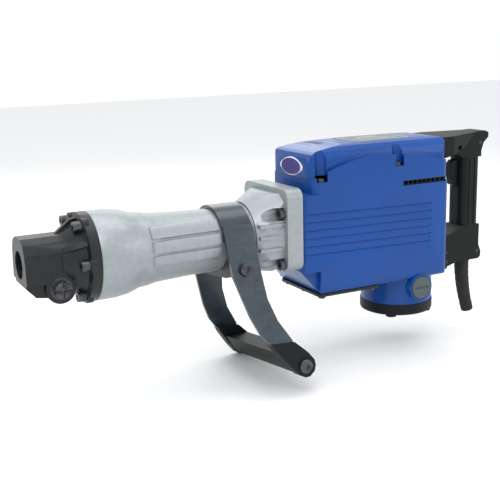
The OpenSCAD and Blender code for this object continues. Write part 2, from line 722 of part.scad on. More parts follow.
// oval outline made of four arcs
module oval(a, b) {
    r = (a * a + b * b) / (2 * b);
    intersection() {
        translate([0, b - r]) circle(r = r, $fn = 128);
        translate([0, r - b]) circle(r = r, $fn = 128);
        square([2 * a - 5, 2 * b + 2], center = true);
    }
}
module badge_seat(g, t) {
    translate([face_x - 1.2, 0, 90]) rotate([0, 3, 0]) rotate([90, 0, 90])
        linear_extrude(t) oval(33 + g, 13 + g);
}
module front_badge() color([0.20, 0.16, 0.45]) at_mouth() badge_seat(0, 3);
module vent_grilles() color(plastic_black) at_mouth() {
    for (s = [-1, 1]) {
        difference() {
            block(554, 629, min(s * 50, s * 56), max(s * 50, s * 56), 55.2, 61.8);
            for (x = [558:8:622]) {
                block(x, x + 5, min(s * 40, s * 60), max(s * 40, s * 60), 56.5, 60.5);
            }
        }
    }
}
module bottom_cover() color(cast_black) at_mouth() difference() {
    union() {
        top_prism(low_z - 4, low_z) round_rect(414, 518, -56, 56, 8);
        top_prism(low_z - 4, low_z + 3) round_rect(431, 499, -35, 35, 6);
    }
    for (x = [424, 508]) {
        for (y = [-46, 46]) {
            zcyl(low_z - 5, low_z + 1, 2.7, x, y);
        }
    }
    zcyl(low_z - 5, low_z + 1, 2.7, 424, 0);
}
module bottom_cover_bolts() color(dark_steel) at_mouth() {
    for (x = [424, 508]) {
        for (y = [-46, 46]) {
            z_screw(x, y, low_z - 4, 5, 4, 2.5, 15);
        }
    }
    z_screw(424, 0, low_z - 4, 5, 4, 2.5, 15);
}
module tail_cover() color(plastic_black) at_mouth() difference() {
    union() {
        translate([motor_x, 0, 0]) rotate_extrude() polygon([[0, -tail_z], [50, -tail_z],
            [barrel_r, -tail_z + 1.5], [barrel_r + 1, -tail_z + 4], [barrel_r + 1, -126],
            [0, -126]]);
        for (a = [45:90:315]) {
            zcyl(-tail_z - 2.5, -130, 8, motor_x + tail_ring * cos(a), tail_ring * sin(a));
        }
    }
    difference() {
        zcyl(-tail_z + 5, -125, 36.5, motor_x, 0);
        zcyl(-tail_z, tail_seat_z + 8, 17.5, motor_x, 0);
    }
    zcyl(tail_seat_z, -120, 14, motor_x, 0);
    zcyl(tail_seat_z - 1.5, -120, 9, motor_x, 0);
    for (a = [45:90:315]) {
        zcyl(-tail_z - 5, -120, 2.6, motor_x + tail_ring * cos(a), tail_ring * sin(a));
        zcyl(-tail_z - 5, -tail_z + 10, 5.2, motor_x + tail_ring * cos(a), tail_ring * sin(a));
    }
    for (k = [-3:3]) {
        block(motor_x - 22, motor_x + 22, k * 8 - 2, k * 8 + 2, -tail_z - 1, -tail_z + 6);
    }
}
module tail_cover_screws() color(dark_steel) at_mouth() {
    for (a = [45:90:315]) {
        z_screw(motor_x + tail_ring * cos(a), tail_ring * sin(a), -tail_z + 10, 5, 4, 2.5, 22);
    }
}
module brush_caps() color([0.20, 0.26, 0.26]) at_mouth() {
    for (s = [-1, 1]) {
        difference() {
            union() {
                ycyl(min(s * 57.2, s * 64), max(s * 57.2, s * 64), 16.5, motor_x, -99);
                ycyl(min(s * 50, s * 58), max(s * 50, s * 58), 10.8, motor_x, -99);
            }
            block(motor_x - 12, motor_x + 12, min(s * 62, s * 66), max(s * 62, s * 66),
                -100.2, -97.8);
        }
    }
}
module brush_holders() color(brass) at_mouth() {
    for (s = [-1, 1]) {
        difference() {
            ycyl(min(s * 26, s * 49.8), max(s * 26, s * 49.8), 11, motor_x, -99);
            block(motor_x - 4.1, motor_x + 4.1, min(s * 20, s * 60), max(s * 20, s * 60),
                -107.1, -90.9);
        }
    }
}
module carbon_brushes() color([0.15, 0.15, 0.15]) at_mouth() {
    for (s = [-1, 1]) {
        block(motor_x - 4, motor_x + 4, min(s * 20.3, s * 38), max(s * 20.3, s * 38), -107, -91);
    }
}
module brush_springs() color(steel) at_mouth() {
    for (s = [-1, 1]) {
        for (k = [0:4]) {
            translate([motor_x, s * (38.9 + k * 2.2), -99]) rotate([90, 0, 0])
                rotate_extrude() translate([3, 0]) circle(r = 0.75, $fn = 24);
        }
        difference() {
            ycyl(min(s * 38.1, s * 49.9), max(s * 38.1, s * 49.9), 3.2, motor_x, -99);
            ycyl(min(s * 37, s * 51), max(s * 37, s * 51), 2.8, motor_x, -99);
        }
    }
}

// ---- drive ----
module crankshaft() color(dark_steel) at_mouth() {
    zcyl(disc_z, disc_z + disc_t, 36, crank_x, 0);
    zcyl(8.5, disc_z + eps, 9.8, crank_x - crank_r, 0);
    zcyl(disc_z, slow_z + slow_t + 4, 10, crank_x, 0);
    zcyl(disc_z, plate_z - 1, 14, crank_x, 0);
}
module final_gear() color(steel) at_mouth() difference() {
    top_prism(slow_z, slow_z + slow_t) translate([crank_x, 0]) gear2(final_n, mod_slow);
    zcyl(slow_z - 1, slow_z + slow_t + 1, 10, crank_x, 0);
    translate([crank_x, 0, slow_z + slow_t - 4]) difference() {
        cylinder(r = 33, h = 5);
        translate([0, 0, -1]) cylinder(r = 17, h = 7);
    }
}
module crank_bearings() color(steel) at_mouth() {
    bearing(crank_x, plate_z, plate_z + plate_t, 20, 10 + turn_gap);
}
module second_shaft() color(dark_steel) at_mouth() {
    zcyl(plate_z, fast_z + fast_t + 14, 6, second_x, 0);
    top_prism(slow_z - 1, slow_z + slow_t + 1) translate([second_x, 0])
        rotate(180 / pinion_n) gear2(pinion_n, mod_slow);
}
module first_gear() color(steel) at_mouth() difference() {
    top_prism(fast_z, fast_z + fast_t) translate([second_x, 0]) gear2(first_n, mod_fast);
    zcyl(fast_z - 1, fast_z + fast_t + 1, 6, second_x, 0);
    translate([second_x, 0, fast_z + fast_t - 3]) difference() {
        cylinder(r = 34, h = 5);
        translate([0, 0, -1]) cylinder(r = 14, h = 7);
    }
}
module second_shaft_bearings() color(steel) at_mouth() {
    bearing(second_x, plate_z, plate_z + plate_t - 1, 13, 6 + turn_gap);
    bearing(second_x, top_bearing_z, top_bearing_z + 9, 13, 6 + turn_gap);
}
module armature_shaft() color(dark_steel) at_mouth() {
    zcyl(tail_seat_z, fast_z - 4, 7, motor_x, 0);
    top_prism(fast_z - 4 - eps, fast_z + fast_t + 2) translate([motor_x, 0])
        rotate(180 / pinion_n) gear2(pinion_n, mod_fast);
}
module armature_core() color(copper) at_mouth() difference() {
    union() {
        zcyl(-58, 2, core_r, motor_x, 0);
        zcyl(-70, 12, core_r - 5, motor_x, 0);
    }
    zcyl(-71, 13, 7, motor_x, 0);
    for (k = [0:11]) {
        translate([motor_x, 0, 0]) rotate(k * 30) block(core_r - 3, core_r + 1, -1.2, 1.2, -59, 3);
    }
}
module commutator() color(copper) at_mouth() difference() {
    zcyl(-112, -84, 20, motor_x, 0);
    zcyl(-113, -83, 7, motor_x, 0);
    for (k = [0:23]) {
        translate([motor_x, 0, 0]) rotate(k * 15) block(19.2, 21, -0.4, 0.4, -113, -83);
    }
}
module fan() color(plastic_black) at_mouth() difference() {
    union() {
        zcyl(16, 19, 42, motor_x, 0);
        zcyl(16, 29, 12, motor_x, 0);
        for (k = [0:11]) {
            translate([motor_x, 0, 0]) rotate(k * 30) block(10, 41, -1, 1, 18, 29);
        }
    }
    zcyl(15, 30, 7, motor_x, 0);
}
module stator() color([0.35, 0.36, 0.38]) at_mouth() difference() {
    union() {
        zcyl(-60, 4, 46.8, motor_x, 0);
        for (s = [-1, 1]) {
            intersection() {
                zcyl(-74, 10, 43, motor_x, 0);
                block(motor_x - 30, motor_x + 30, min(s * 24, s * 44), max(s * 24, s * 44), -74, 10);
            }
        }
    }
    zcyl(-80, 12, core_r + 0.8, motor_x, 0);
    for (s = [-1, 1]) {
        block(motor_x + s * 36 - 5, motor_x + s * 36 + 5, -20, 20, -80, 12);
    }
}
module motor_bearings() color(steel) at_mouth() {
    bearing(motor_x, plate_z, plate_z + plate_t - 1, 15, 7 + turn_gap);
    bearing(motor_x, tail_seat_z, tail_seat_z + 9, 14, 7 + turn_gap);
}

// ---- rear handle ----
grip_x1 = handle_end - 13;
slot_x = grip_x + 6;
cavity_x = grip_x1 - 6.5;
guard_x = grip_x + 18;
guard_z = -86;
module upper_arm() {
    polygon([[body_x1 + 1.2, 116], [handle_end - 6, 118], [handle_end, 115], [handle_end, 108],
        [handle_end - 9, 100], [grip_x1, 88], [grip_x1, 79], [grip_x, 79], [grip_x - 5, 82],
        [grip_x - 14, 86], [660, 88], [body_x1 + 1.2, 84]]);
}
module lower_arm() {
    polygon([[body_x1 + 1.2, -46], [656, -41], [grip_x - 12, -35], [grip_x - 4, -31],
        [grip_x, -27], [grip_x1, -27], [grip_x1, -60], [handle_end - 8, -72],
        [handle_end - 9, -80], [handle_end - 14, -83], [690, -83], [672, -88],
        [body_x1 + 1.2, -90]]);
}
module handle_half(s) {
    y1 = s * grip_half_w;
    difference() {
        union() {
            side_prism(min(0, y1), max(0, y1)) upper_arm();
            side_prism(min(0, y1), max(0, y1)) lower_arm();
            intersection() {
                top_prism(-28, 80) round_rect(grip_x, grip_x1, -grip_half_w, grip_half_w, 11);
                block(grip_x - 1, grip_x1 + 1, min(0, s * 40), max(0, s * 40), -30, 90);
            }
            intersection() {
                side_prism(min(0, s * 40), max(0, s * 40)) polygon([[body_x1 + 1.2, 116],
                    [720, 117.5], [690, 98], [660, 88], [body_x1 + 1.2, 84]]);
                top_prism(60, 130) polygon([[body_x1, 0], [body_x1, s * 40],
                    [660, s * 40], [735, s * 14], [735, 0]]);
            }
            side_prism(min(0, s * 38), max(0, s * 38)) polygon([[body_x1 + 1.2, -46], [650, -44],
                [654, -84], [body_x1 + 1.2, -90]]);
        }
        // saddle round the motor barrel
        zcyl(-130, -70, barrel_r + 0.1, motor_x, 0);
        // room for the switch and wiring
        block(slot_x, cavity_x, -13, 13, -60, 82);
        block(grip_x - 6, slot_x + 1, -6.3, 6.3, 33.5, 75.5);
        zcyl(-95, -50, 11, guard_x, 0);
        zcyl(-64.2, -59.8, 13.1, guard_x, 0);
        for (z = [100, -70]) {
            ycyl(-30, 30, 2.6, 730, z);
        }
        for (z = [100, -66]) {
            ycyl(-30, 30, 2.6, 668, z);
        }
        for (z = [96, -76]) {
            xcyl(body_x1 - 6, 656, 3.4, s * 30, z);
            xcyl(650, 680, 6.6, s * 30, z);
        }
        // finger ribs
        for (x = [grip_x + 13, grip_x + 23]) {
            block(x - 0.8, x + 0.8, min(s * (grip_half_w - 1), s * 30),
                max(s * (grip_half_w - 1), s * 30), -26, 78);
        }
    }
}
module handle_left() color(plastic_black) at_mouth() handle_half(-1);
module handle_right() color(plastic_black) at_mouth() handle_half(1);
module handle_screws() color(dark_steel) at_mouth() {
    for (p = [[730, 100], [730, -70], [668, 100], [668, -66]]) {
        translate([p[0], -grip_half_w, p[1]]) rotate([-90, 0, 0]) difference() {
            cylinder(r = 2.5, h = 2 * grip_half_w);
            translate([0, 0, -1]) cylinder(r = 1.3, h = 3, $fn = fn_hex);
        }
    }
}
module handle_mount_bolts() color(dark_steel) at_mouth() {
    for (s = [-1, 1]) {
        for (z = [96, -76]) {
            translate([650, s * 30, z]) rotate([0, -90, 0]) difference() {
                union() {
                    translate([0, 0, -6]) cylinder(r = 6, h = 6);
                    cylinder(r = 3.3, h = 26);
                }
                translate([0, 0, -7]) cylinder(r = 3, h = 4, $fn = fn_hex);
            }
        }
    }
}
trigger_z = 55;
switch_x = slot_x + 10.4;
module trigger() color(plastic_black) at_mouth() difference() {
    union() {
        side_prism(-6, 6) polygon([[grip_x - 14, 69], [grip_x - 9, 75], [slot_x + 2, 75],
            [slot_x + 2, 34], [grip_x - 3, 34], [grip_x - 10, 38], [grip_x - 13, 50]]);
        block(slot_x + 0.4, slot_x + 2, -10, 10, 34, 75);
    }
    block(grip_x - 0.2, slot_x + 3, -4.5, 4.5, 44, 66);
}
module trigger_spring() color(steel) at_mouth() difference() {
    xcyl(grip_x, switch_x + 0.8, 3.6, 0, trigger_z);
    xcyl(grip_x - 1, switch_x + 2, 2.9, 0, trigger_z);
}
module switch_body() color([0.12, 0.12, 0.13]) at_mouth() difference() {
    block(switch_x, cavity_x - 0.2, -12, 12, 24, 80);
    xcyl(switch_x - 1, switch_x + 10, 4.2, 0, trigger_z);
    for (z = [30, 72]) {
        ycyl(-13, 13, 2, switch_x + 7, z);
    }
}
guard_bend_r = 247;
guard_bend = 17;
guard_tip = 12;
guard_bore_r = 5.2;
guard_rings = 5;
// round bar along the bend of the guard, from angle a0 to a1
module guard_arc(r, a0, a1) {
    translate([guard_x + guard_bend_r, 0, guard_z]) rotate([90, 0, 0]) rotate(180 + a0)
        rotate_extrude(angle = a1 - a0, $fn = 360) translate([guard_bend_r, 0]) circle(r = r);
}
// places its children at the end of the bend, looking out of the mouth
module guard_end() {
    translate([guard_x + guard_bend_r * (1 - cos(guard_bend)), 0,
        guard_z - guard_bend_r * sin(guard_bend)]) rotate([180, 0, 0]) rotate([0, guard_bend, 0])
        children();
}
module cord_guard() color(rubber_black) at_mouth() difference() {
    union() {
        zcyl(guard_z, -56, 10.8, guard_x, 0);
        zcyl(-64, -60, 12.9, guard_x, 0);
        zcyl(guard_z - 2, guard_z + 2.7, 12.2, guard_x, 0);
        for (k = [0:guard_rings - 1]) {
            guard_arc(11.6 - 0.4 * k, guard_bend * k / guard_rings - 0.4,
                guard_bend * (k + 1) / guard_rings);
        }
        guard_end() translate([0, 0, -1]) cylinder(r = 9.5, h = guard_tip + 1);
    }
    zcyl(guard_z, -50, guard_bore_r, guard_x, 0);
    guard_arc(guard_bore_r, 0, guard_bend);
    guard_end() cylinder(r = guard_bore_r, h = guard_tip + 1);
}
module cord_clamp() color(plastic_black) at_mouth() difference() {
    block(guard_x - 9, guard_x + 9, -11, 11, -50, -42);
    zcyl(-51, -41, 5, guard_x, 0);
}

front_cover();
front_cover_bolts();
tool_retainer();
retainer_clip();
hammer_holder();
second_hammer();
damper_ring();
impact_cylinder();
striker();
striker_o_ring();
piston();
piston_o_rings();
piston_pin();
connecting_rod();
cylinder_case();
cylinder_case_bolts();
side_handle_frame();
clamp_saddle();
clamp_bolts();
side_grip();
grip_bolts();
crank_case();
motor_housing();
gear_cover();
gear_cover_screws();
name_plate();
front_badge();
vent_grilles();
bottom_cover();
bottom_cover_bolts();
tail_cover();
tail_cover_screws();
brush_caps();
brush_holders();
carbon_brushes();
brush_springs();
crankshaft();
final_gear();
crank_bearings();
second_shaft();
first_gear();
second_shaft_bearings();
armature_shaft();
armature_core();
commutator();
fan();
stator();
motor_bearings();
handle_left();
handle_right();
handle_screws();
handle_mount_bolts();
trigger();
trigger_spring();
switch_body();
cord_guard();
cord_clamp();
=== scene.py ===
import json
import math

import bmesh
import bpy
from mathutils import Matrix, Vector

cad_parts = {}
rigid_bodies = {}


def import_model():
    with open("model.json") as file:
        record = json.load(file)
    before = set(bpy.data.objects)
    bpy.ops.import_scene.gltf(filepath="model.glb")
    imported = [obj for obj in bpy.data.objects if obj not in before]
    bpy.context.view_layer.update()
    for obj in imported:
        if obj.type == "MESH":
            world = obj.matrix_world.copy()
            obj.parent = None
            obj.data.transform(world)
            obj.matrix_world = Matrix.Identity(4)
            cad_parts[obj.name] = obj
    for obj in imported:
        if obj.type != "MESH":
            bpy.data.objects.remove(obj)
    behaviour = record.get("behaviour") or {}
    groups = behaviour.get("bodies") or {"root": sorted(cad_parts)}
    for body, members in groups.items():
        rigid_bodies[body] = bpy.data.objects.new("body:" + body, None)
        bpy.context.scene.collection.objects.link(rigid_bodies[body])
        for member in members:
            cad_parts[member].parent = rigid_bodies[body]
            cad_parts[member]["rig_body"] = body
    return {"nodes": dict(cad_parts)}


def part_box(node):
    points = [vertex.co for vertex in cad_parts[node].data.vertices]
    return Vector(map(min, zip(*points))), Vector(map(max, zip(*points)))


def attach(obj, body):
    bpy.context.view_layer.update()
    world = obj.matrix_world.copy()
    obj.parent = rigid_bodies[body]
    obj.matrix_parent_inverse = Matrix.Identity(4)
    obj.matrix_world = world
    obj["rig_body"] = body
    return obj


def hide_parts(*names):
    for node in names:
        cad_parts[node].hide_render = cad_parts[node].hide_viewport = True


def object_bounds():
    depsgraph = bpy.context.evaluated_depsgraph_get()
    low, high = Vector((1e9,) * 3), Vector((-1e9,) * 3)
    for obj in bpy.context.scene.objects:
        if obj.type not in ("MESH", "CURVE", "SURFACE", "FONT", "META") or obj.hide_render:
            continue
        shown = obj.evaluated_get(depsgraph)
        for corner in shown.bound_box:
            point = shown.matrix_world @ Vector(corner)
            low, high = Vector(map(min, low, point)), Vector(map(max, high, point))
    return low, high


bl_info = {
    "name": "Demolition hammer",
    "version": (1, 0, 0),
    "blender": (4, 5, 0),
    "location": "View3D > Sidebar > Hammer",
    "description": "Finishes and soft edges of a demolition hammer with a stirrup side handle",
    "category": "Object",
}

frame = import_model()
CAD_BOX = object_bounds()
MM = 0.001
WELD = 0.01 * MM            # corners nearer than this are one corner
FLAT = math.radians(1.0)    # faces that meet at less than this are one face
RELIEF_DEPTH = 0.5 * MM     # height of a skin's relief at full strength
TONE_RANGE = (0.35, 0.65)   # part of a skin's mask that goes from one colour to the other


# ---- shader groups: each gives a mask and a normal from Object coordinates ----
def new_group(name):
    group = bpy.data.node_groups.new(name, "ShaderNodeTree")
    for label, default in (("Scale", 100.0), ("Relief", 0.2)):
        socket = group.interface.new_socket(label, in_out="INPUT", socket_type="NodeSocketFloat")
        socket.default_value = default
    group.interface.new_socket("Mask", in_out="OUTPUT", socket_type="NodeSocketFloat")
    group.interface.new_socket("Normal", in_out="OUTPUT", socket_type="NodeSocketVector")
    return group


def node(tree, kind, **values):
    made = tree.nodes.new(kind)
    for key, value in values.items():
        setattr(made, key, value)
    return made


def maths(tree, operation, first, second=None):
    made = node(tree, "ShaderNodeMath", operation=operation)
    for socket, value in zip(made.inputs, (first, second)):
        if value is None:
            continue
        if isinstance(value, (int, float)):
            socket.default_value = value
        else:
            tree.links.new(value, socket)
    return made.outputs[0]


def coarse_and_fine(name, stretch=(1.0, 1.0, 1.0), fine=5.0, share=0.5, detail=4.0):
    """A group with one noise for tone and another, finer one for relief."""
    tree = new_group(name)
    start = node(tree, "NodeGroupInput")
    end = node(tree, "NodeGroupOutput")
    where = node(tree, "ShaderNodeTexCoord")
    mapping = node(tree, "ShaderNodeMapping")
    mapping.inputs["Scale"].default_value = stretch
    tree.links.new(where.outputs["Object"], mapping.inputs["Vector"])
    broad = node(tree, "ShaderNodeTexNoise")
    small = node(tree, "ShaderNodeTexNoise")
    for texture in (broad, small):
        texture.inputs["Detail"].default_value = detail
        tree.links.new(mapping.outputs[0], texture.inputs["Vector"])
    tree.links.new(start.outputs["Scale"], broad.inputs["Scale"])
    tree.links.new(maths(tree, "MULTIPLY", start.outputs["Scale"], fine), small.inputs["Scale"])
    tone = maths(tree, "ADD", maths(tree, "MULTIPLY", broad.outputs[0], 1 - share),
                 maths(tree, "MULTIPLY", small.outputs[0], share))
    bump = node(tree, "ShaderNodeBump")
    bump.inputs["Distance"].default_value = RELIEF_DEPTH
    tree.links.new(start.outputs["Relief"], bump.inputs["Strength"])
    tree.links.new(small.outputs[0], bump.inputs["Height"])
    tree.links.new(tone, end.inputs["Mask"])
    tree.links.new(bump.outputs[0], end.inputs["Normal"])
    return tree


SKINS = {}


def skin(name):
    """The shared groups, made once each."""
    recipes = {
        "cast": dict(fine=4.0, share=0.5),
        "enamel": dict(fine=30.0, share=0.12),
        "turned": dict(stretch=(1.0, 0.04, 0.04), fine=3.0, share=0.6, detail=2.0),
        "ground": dict(stretch=(0.15, 1.0, 0.15), fine=3.0, share=0.6, detail=2.0),
        "moulded": dict(fine=7.0, share=0.4),
        "stacked": dict(stretch=(0.02, 0.02, 1.0), fine=2.0, share=0.7, detail=0.0),
    }
    if name not in SKINS:
        SKINS[name] = coarse_and_fine("Skin " + name, **recipes[name])
    return SKINS[name]


def finish_of(name, colour, worn, roughness, spread, skin_name, scale, relief, metallic=0.0,
              coat=0.0, coat_roughness=0.1, specular=0.5):
    """A material whose tone, roughness and relief all follow one shared skin."""
    found = bpy.data.materials.get(name)
    if found:
        return found
    made = bpy.data.materials.new(name)
    made.use_nodes = True
    tree = made.node_tree
    shader = tree.nodes["Principled BSDF"]
    shader.inputs["Metallic"].default_value = metallic
    shader.inputs["Coat Weight"].default_value = coat
    shader.inputs["Coat Roughness"].default_value = coat_roughness
    shader.inputs["Specular IOR Level"].default_value = specular
    surface = node(tree, "ShaderNodeGroup", node_tree=skin(skin_name))
    surface.inputs["Scale"].default_value = scale
    surface.inputs["Relief"].default_value = relief
    mix = node(tree, "ShaderNodeMix", data_type="RGBA")
    mix.inputs["A"].default_value = (*colour, 1.0)
    mix.inputs["B"].default_value = (*worn, 1.0)
    contrast = node(tree, "ShaderNodeMapRange")
    contrast.inputs["From Min"].default_value, contrast.inputs["From Max"].default_value = TONE_RANGE
    gloss = node(tree, "ShaderNodeMapRange")
    gloss.inputs["To Min"].default_value = roughness - spread
    gloss.inputs["To Max"].default_value = roughness + spread
    for target in (contrast, gloss):
        tree.links.new(surface.outputs["Mask"], target.inputs["Value"])
    tree.links.new(contrast.outputs[0], mix.inputs["Factor"])
    tree.links.new(mix.outputs["Result"], shader.inputs["Base Color"])
    tree.links.new(gloss.outputs[0], shader.inputs["Roughness"])
    tree.links.new(surface.outputs["Normal"], shader.inputs["Normal"])
    return made


def shade(colour, factor):
    return tuple(min(1.0, c * factor) for c in colour)


def looks():
    return bpy.context.scene.hammer_looks


def black_casting():
    c = looks().casting_colour
    return finish_of("Black casting", c, shade(c, 1.9), 0.40, 0.10, "cast", 90, 0.35, coat=0.10,
                     coat_roughness=0.25, specular=0.30)


def silver_casting():
    c = looks().silver_colour
    return finish_of("Silver casting", c, shade(c, 0.86), 0.42, 0.08, "cast", 140, 0.16,
                     metallic=0.55)


def blue_enamel():
    c = looks().enamel_colour
    return finish_of("Blue enamel", c, shade(c, 1.18), 0.34, 0.06, "enamel", 14, 0.05, coat=0.22,
                     coat_roughness=0.08, specular=0.18)


def blackened_steel():
    return finish_of("Blackened steel", (0.035, 0.037, 0.040), (0.12, 0.12, 0.13), 0.34, 0.08,
                     "ground", 300, 0.15, metallic=0.85)


def machined_steel():
    return finish_of("Machined steel", (0.56, 0.57, 0.58), (0.36, 0.37, 0.38), 0.28, 0.08,
                     "turned", 900, 0.20, metallic=1.0)


def band_steel():
    c = looks().band_colour
    return finish_of("Band steel", c, shade(c, 1.5), 0.30, 0.07, "ground", 160, 0.12, metallic=0.3,
                     coat=0.4, coat_roughness=0.15)


def black_moulding():
    c = looks().moulding_colour
    return finish_of("Black moulding", c, shade(c, 1.6), 0.46, 0.08, "moulded", 500, 0.30,
                     specular=0.16)


def black_rubber():
    return finish_of("Black rubber", (0.012, 0.014, 0.014), (0.03, 0.032, 0.032), 0.62, 0.08,
                     "moulded", 350, 0.35, specular=0.15)


def cap_moulding():
    return finish_of("Cap moulding", (0.040, 0.060, 0.060), (0.065, 0.09, 0.09), 0.38, 0.06,
                     "moulded", 420, 0.15)


def copper_winding():
    return finish_of("Copper winding", (0.55, 0.22, 0.09), (0.30, 0.11, 0.05), 0.34, 0.10,
                     "stacked", 1500, 0.40, metallic=1.0)


def bare_brass():
    return finish_of("Bare brass", (0.62, 0.44, 0.16), (0.45, 0.31, 0.11), 0.32, 0.08, "ground",
                     300, 0.12, metallic=1.0)


def pressed_carbon():
    return finish_of("Pressed carbon", (0.02, 0.02, 0.022), (0.05, 0.05, 0.052), 0.55, 0.08,
                     "moulded", 700, 0.30)


def stacked_iron():
    return finish_of("Stacked iron", (0.16, 0.16, 0.17), (0.08, 0.08, 0.085), 0.50, 0.10,
                     "stacked", 2200, 0.40, metallic=0.9)


def split_object_coordinates(tree):
    where = node(tree, "ShaderNodeTexCoord")
    parts = node(tree, "ShaderNodeSeparateXYZ")
    tree.links.new(where.outputs["Object"], parts.inputs[0])
    return parts.outputs


def within(tree, value, centre, half):
    """1 where value lies within half of centre, else 0."""
    return maths(tree, "LESS_THAN", maths(tree, "ABSOLUTE", maths(tree, "SUBTRACT", value, centre)),
                 half)


def paint_over(made, mask, colour):
    """Lays a flat second colour over a material where mask is 1."""
    tree = made.node_tree
    shader = tree.nodes["Principled BSDF"]
    under = shader.inputs["Base Color"].links[0].from_socket
    mix = node(tree, "ShaderNodeMix", data_type="RGBA")
    mix.inputs["B"].default_value = (*colour, 1.0)
    tree.links.new(under, mix.inputs["A"])
    tree.links.new(mask, mix.inputs["Factor"])
    tree.links.new(mix.outputs["Result"], shader.inputs["Base Color"])


def plate_foil():
    """Teal foil with a ruled gold border and plain bars."""
    c = looks().plate_colour
    made = finish_of("Plate foil", c, shade(c, 1.3), 0.26, 0.05, "enamel", 40, 0.04, coat=0.12,
                     specular=0.2)
    gold = (0.55, 0.40, 0.10)
    border_from, border_to = 3.0, 4.4
    bars = ((14, 2.0, 16), (4, 0.7, 30), (-2, 0.7, 26), (-12, 0.7, 30))
    low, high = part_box("name_plate")
    middle, half = (low + high) / 2, (high - low) / 2
    tree = made.node_tree
    x, y, _ = split_object_coordinates(tree)
    outer, inner = (maths(tree, "MULTIPLY", within(tree, x, middle.x, half.x - inset * MM),
                          within(tree, y, middle.y, half.y - inset * MM))
                    for inset in (border_from, border_to))
    mask = maths(tree, "SUBTRACT", outer, inner)
    for place, thick, wide in bars:
        bar = maths(tree, "MULTIPLY", within(tree, x, middle.x, wide * MM),
                    within(tree, y, middle.y + place * MM, thick * MM))
        mask = maths(tree, "MAXIMUM", mask, bar)
    paint_over(made, mask, gold)
    return made


def badge_enamel():
    """Violet oval with a pale rim."""
    c = looks().badge_colour
    made = finish_of("Badge enamel", c, shade(c, 1.5), 0.20, 0.04, "enamel", 60, 0.03, coat=0.15,
                     specular=0.2)
    rim_colour = (0.70, 0.70, 0.74)
    rim_from = 0.74     # squared distance from the middle, 1 at the edge
    low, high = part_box("front_badge")
    middle, half = (low + high) / 2, (high - low) / 2
    tree = made.node_tree
    _, y, z = split_object_coordinates(tree)
    across = maths(tree, "DIVIDE", maths(tree, "SUBTRACT", y, middle.y), half.y)
    along = maths(tree, "DIVIDE", maths(tree, "SUBTRACT", z, middle.z), half.z)
    reach = maths(tree, "ADD", maths(tree, "MULTIPLY", across, across),
                  maths(tree, "MULTIPLY", along, along))
    paint_over(made, maths(tree, "GREATER_THAN", reach, rim_from), rim_colour)
    return made


# ---- pieces ----
def dress(names, made):
    for name in names:
        slots = frame["nodes"][name].data.materials
        slots.clear()
        slots.append(made)


def add_object(name, mesh, made, body, nodes):
    piece = bpy.data.objects.new(name, mesh)
    bpy.context.scene.collection.objects.link(piece)
    mesh.materials.clear()
    mesh.materials.append(made)
    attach(piece, body)
    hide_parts(*nodes)
    return piece


def soft_edged(name, made, width, segments=2, angle=30.0):
    """Replaces a CAD node by a copy whose sharp edges are rounded to width millimetres."""
    source = frame["nodes"][name]
    bm = bmesh.new()
    bm.from_mesh(source.data)
    bmesh.ops.remove_doubles(bm, verts=bm.verts[:], dist=WELD)
    bmesh.ops.dissolve_limit(bm, angle_limit=FLAT, verts=bm.verts[:], edges=bm.edges[:])
    mesh = bpy.data.meshes.new(name + "_soft")
    bm.to_mesh(mesh)
    bm.free()
    piece = add_object(name + "_soft", mesh, made, source["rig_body"], [name])
    for polygon in mesh.polygons:
        polygon.use_smooth = True
    mesh.set_sharp_from_angle(angle=math.radians(angle))
    bevel = piece.modifiers.new("Rounded edges", "BEVEL")
    bevel.width = width * MM
    bevel.segments = segments
    bevel.limit_method = "ANGLE"
    bevel.angle_limit = math.radians(angle)
    bevel.harden_normals = True
    bevel.use_clamp_overlap = True
    return piece


